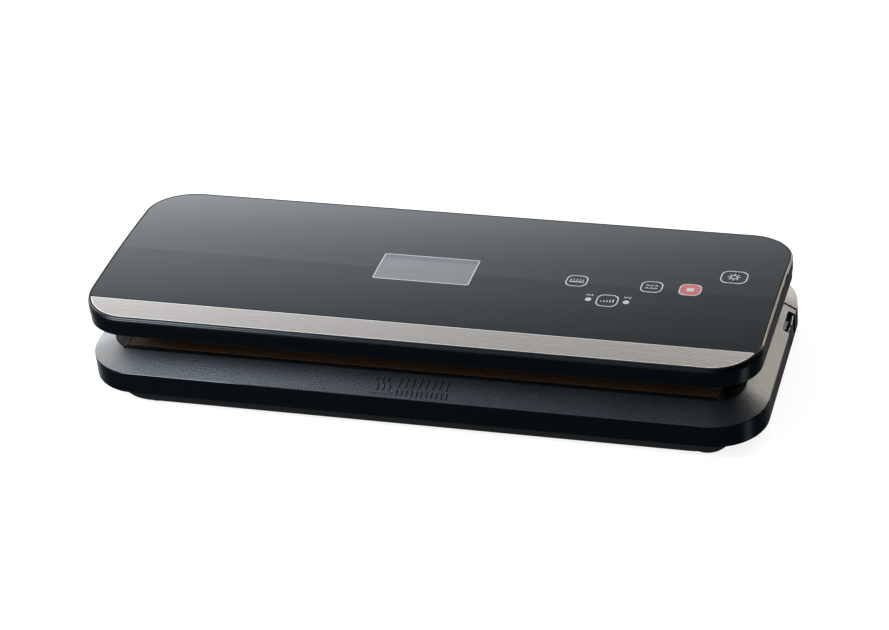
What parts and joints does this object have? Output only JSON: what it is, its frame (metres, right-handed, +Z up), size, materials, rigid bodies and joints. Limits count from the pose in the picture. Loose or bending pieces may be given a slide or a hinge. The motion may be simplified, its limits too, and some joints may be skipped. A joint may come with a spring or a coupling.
{
  "type": "vacuum sealer",
  "caption": "Slim external vacuum sealer: full-width hinged glass-topped lid over a heated sealing bar, gasketed vacuum trough, release buttons and pump base.",
  "frame": {"origin": "on the table, under the middle of the base", "axes": "+X to the right seen from the front, +Y to the rear, +Z up"},
  "size_m": [0.3724, 0.1488, 0.057],
  "materials": {
    "grained_shell": "fine leather grain",
    "tray_plastic": "fine texture",
    "foot_rubber": "matt",
    "screw_steel": "zinc plated",
    "carrier_plastic": "matt",
    "element_steel": "bare",
    "heating_tape": "woven PTFE-coated glass cloth",
    "gasket_foam": "closed-cell foam",
    "silicone_strip": "matt silicone",
    "trough_plastic": "gloss",
    "motor_steel": "plated",
    "inner_plastic": "matt",
    "white_plastic": "acetal",
    "hose_silicone": "translucent silicone",
    "board_green": "solder mask",
    "ferrite": "sintered",
    "winding_tape": "polyester tape",
    "capacitor_sleeve": "shrink sleeve",
    "heat_sink_metal": "extruded",
    "contact_brass": "nickel-free",
    "lid_gloss": "high gloss",
    "panel_glass": "black-backed tempered glass",
    "trim_metal": "long brushed, warm",
    "lid_satin": "satin",
    "display": "LCD",
    "touch_foam": "conductive foam",
    "lamp_lens": "diffuse",
    "spring_steel": "drawn wire",
    "bracket_steel": "black paint",
    "button_gloss": "high gloss"
  },
  "bodies": {
    "base": {"base_shell": "grained_shell", "rear_cover": "grained_shell", "bottom_cover": "tray_plastic", "feet": "foot_rubber", "bottom_screws": "screw_steel", "heating_bar_carrier": "carrier_plastic", "heating_element": "element_steel", "heating_tape": "heating_tape", "tape_clamp_right": "carrier_plastic", "tape_clamp_left": "carrier_plastic", "lower_gasket": "gasket_foam", "vacuum_trough": "trough_plastic", "latch_spring_right": "spring_steel", "latch_spring_left": "spring_steel", "hinge_bracket_right": "bracket_steel", "hinge_bracket_left": "bracket_steel", "hinge_pin_right": "screw_steel", "hinge_pin_left": "screw_steel", "hinge_spring_right": "spring_steel", "hinge_spring_left": "spring_steel", "hinge_screws": "screw_steel", "motor_can": "motor_steel", "pump_housing": "inner_plastic", "pump_cover": "inner_plastic", "valve_body": "inner_plastic", "pressure_sensor": "inner_plastic", "trough_hose": "hose_silicone", "valve_hose": "hose_silicone", "power_board": "board_green", "board_posts": "tray_plastic", "board_screws": "screw_steel", "transformer_core": "ferrite", "transformer_winding": "winding_tape", "capacitors": "capacitor_sleeve", "heat_sink": "heat_sink_metal", "power_inlet": "inner_plastic", "inlet_pins": "contact_brass"},
    "lid": {"lid_frame": "lid_gloss", "glass_panel": "panel_glass", "trim_strip": "trim_metal", "lid_lower_cover": "lid_satin", "upper_gasket": "gasket_foam", "pressure_strip": "silicone_strip", "display_module": "display", "touch_board": "board_green", "touch_pads": "touch_foam", "indicator_lamps": "lamp_lens", "lid_screws": "screw_steel", "latch_striker_right": "bracket_steel", "latch_striker_left": "bracket_steel", "hinge_arm_right": "bracket_steel", "hinge_arm_left": "bracket_steel"},
    "release_button_right": {"release_button_right": "button_gloss"},
    "release_button_left": {"release_button_left": "button_gloss"},
    "latch_bar_right": {"latch_bar_right": "white_plastic"},
    "latch_bar_left": {"latch_bar_left": "white_plastic"},
    "motor_rotor": {"motor_rotor": "motor_steel"},
    "pump_yoke": {"pump_yoke": "white_plastic"},
    "valve_plunger": {"valve_plunger": "motor_steel"}
  },
  "joints": [
    {"name": "lid_hinge", "type": "hinge", "parent": "base", "child": "lid", "pos_m": [0, 0.0541, 0.0389], "axis": [-1, 0, 0], "range_deg": [-2.9, 70]},
    {"name": "release_button_right", "type": "slide", "parent": "base", "child": "release_button_right", "axis": [-1, 0, 0], "range_m": [0, 0.0018], "stiffness_N_per_m": 900},
    {"name": "release_button_left", "type": "slide", "parent": "base", "child": "release_button_left", "axis": [1, 0, 0], "range_m": [0, 0.0018], "stiffness_N_per_m": 900},
    {"name": "latch_bar_right", "type": "hinge", "parent": "base", "child": "latch_bar_right", "pos_m": [0.166, 0, 0.0088], "axis": [0, -1, 0], "range_deg": [0, 10.8]},
    {"name": "latch_bar_left", "type": "hinge", "parent": "base", "child": "latch_bar_left", "pos_m": [-0.166, 0, 0.0088], "axis": [0, 1, 0], "range_deg": [0, 10.8]},
    {"name": "motor_spin", "type": "hinge", "parent": "base", "child": "motor_rotor", "pos_m": [0, 0.0255, 0.0195], "axis": [1, 0, 0], "continuous": true},
    {"name": "pump_stroke", "type": "slide", "parent": "base", "child": "pump_yoke", "axis": [0, 1, 0], "range_m": [-0.001, 0.001]},
    {"name": "valve_stroke", "type": "slide", "parent": "base", "child": "valve_plunger", "axis": [-1, 0, 0], "range_m": [0, 0.002], "stiffness_N_per_m": 300}
  ],
  "couplings": [
    {"joint": "latch_bar_right", "follows": "release_button_right", "rad_per_m": 104.17},
    {"joint": "latch_bar_left", "follows": "release_button_left", "rad_per_m": 104.17}
  ]
}
